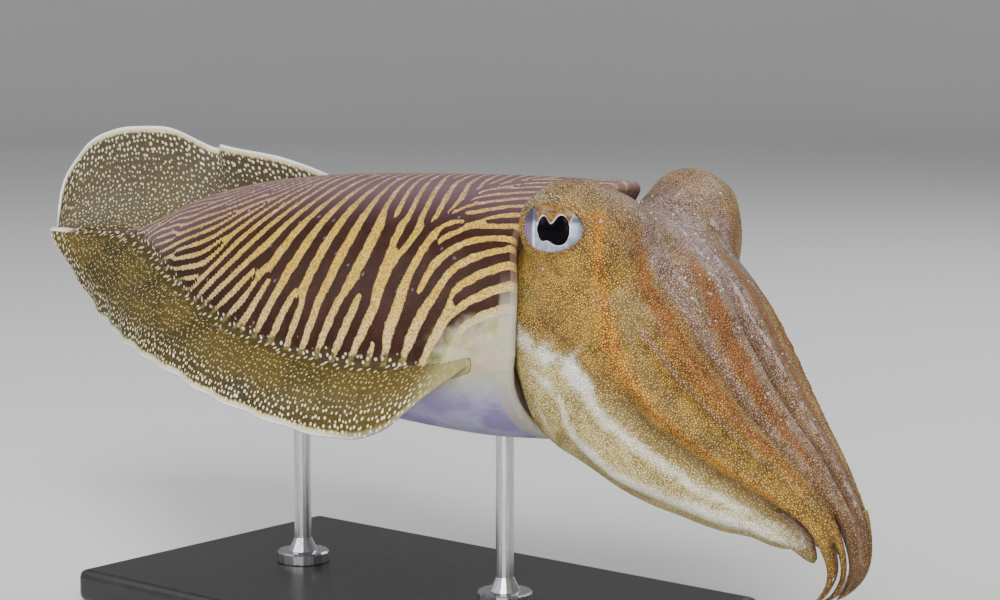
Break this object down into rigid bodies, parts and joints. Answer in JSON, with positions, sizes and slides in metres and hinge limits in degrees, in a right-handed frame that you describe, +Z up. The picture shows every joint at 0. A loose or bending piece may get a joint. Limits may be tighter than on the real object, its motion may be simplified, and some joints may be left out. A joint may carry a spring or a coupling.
{
  "type": "common cuttlefish model",
  "caption": "Still, life-size model of a common cuttlefish swimming level, held by two short rods above a flat display base.",
  "frame": {"origin": "centre of the display base's underside", "axes": "+X the way the animal faces, +Y its left side, +Z up"},
  "size_m": [0.3907, 0.1507, 0.1732],
  "materials": {
    "mantle_skin": "moist skin, dark brown with cream-gold stripes",
    "fin_skin": "thin olive-brown fin with cream dots and a pale edge",
    "head_skin": "golden-brown finely speckled skin",
    "funnel_skin": "pale violet-white skin",
    "eye_silver": "silvery wet eye",
    "pupil_black": "black, glossy",
    "base_satin_black": "satin black",
    "rod_steel": "brushed"
  },
  "bodies": {
    "root": {"arm_1_left_base": "head_skin", "arm_1_left_tip": "head_skin", "arm_1_right_base": "head_skin", "arm_1_right_tip": "head_skin", "arm_2_left_base": "head_skin", "arm_2_left_tip": "head_skin", "arm_2_right_base": "head_skin", "arm_2_right_tip": "head_skin", "arm_3_left_base": "head_skin", "arm_3_left_tip": "head_skin", "arm_3_right_base": "head_skin", "arm_3_right_tip": "head_skin", "arm_4_left_base": "head_skin", "arm_4_left_tip": "head_skin", "arm_4_right_base": "head_skin", "arm_4_right_tip": "head_skin", "eye_left": "eye_silver", "eye_right": "eye_silver", "fin_left": "fin_skin", "fin_right": "fin_skin", "funnel": "funnel_skin", "head": "head_skin", "mantle": "mantle_skin", "pupil_left": "pupil_black", "pupil_right": "pupil_black", "stand_base": "base_satin_black", "stand_rod_front": "rod_steel", "stand_rod_rear": "rod_steel"}
  },
  "joints": []
}
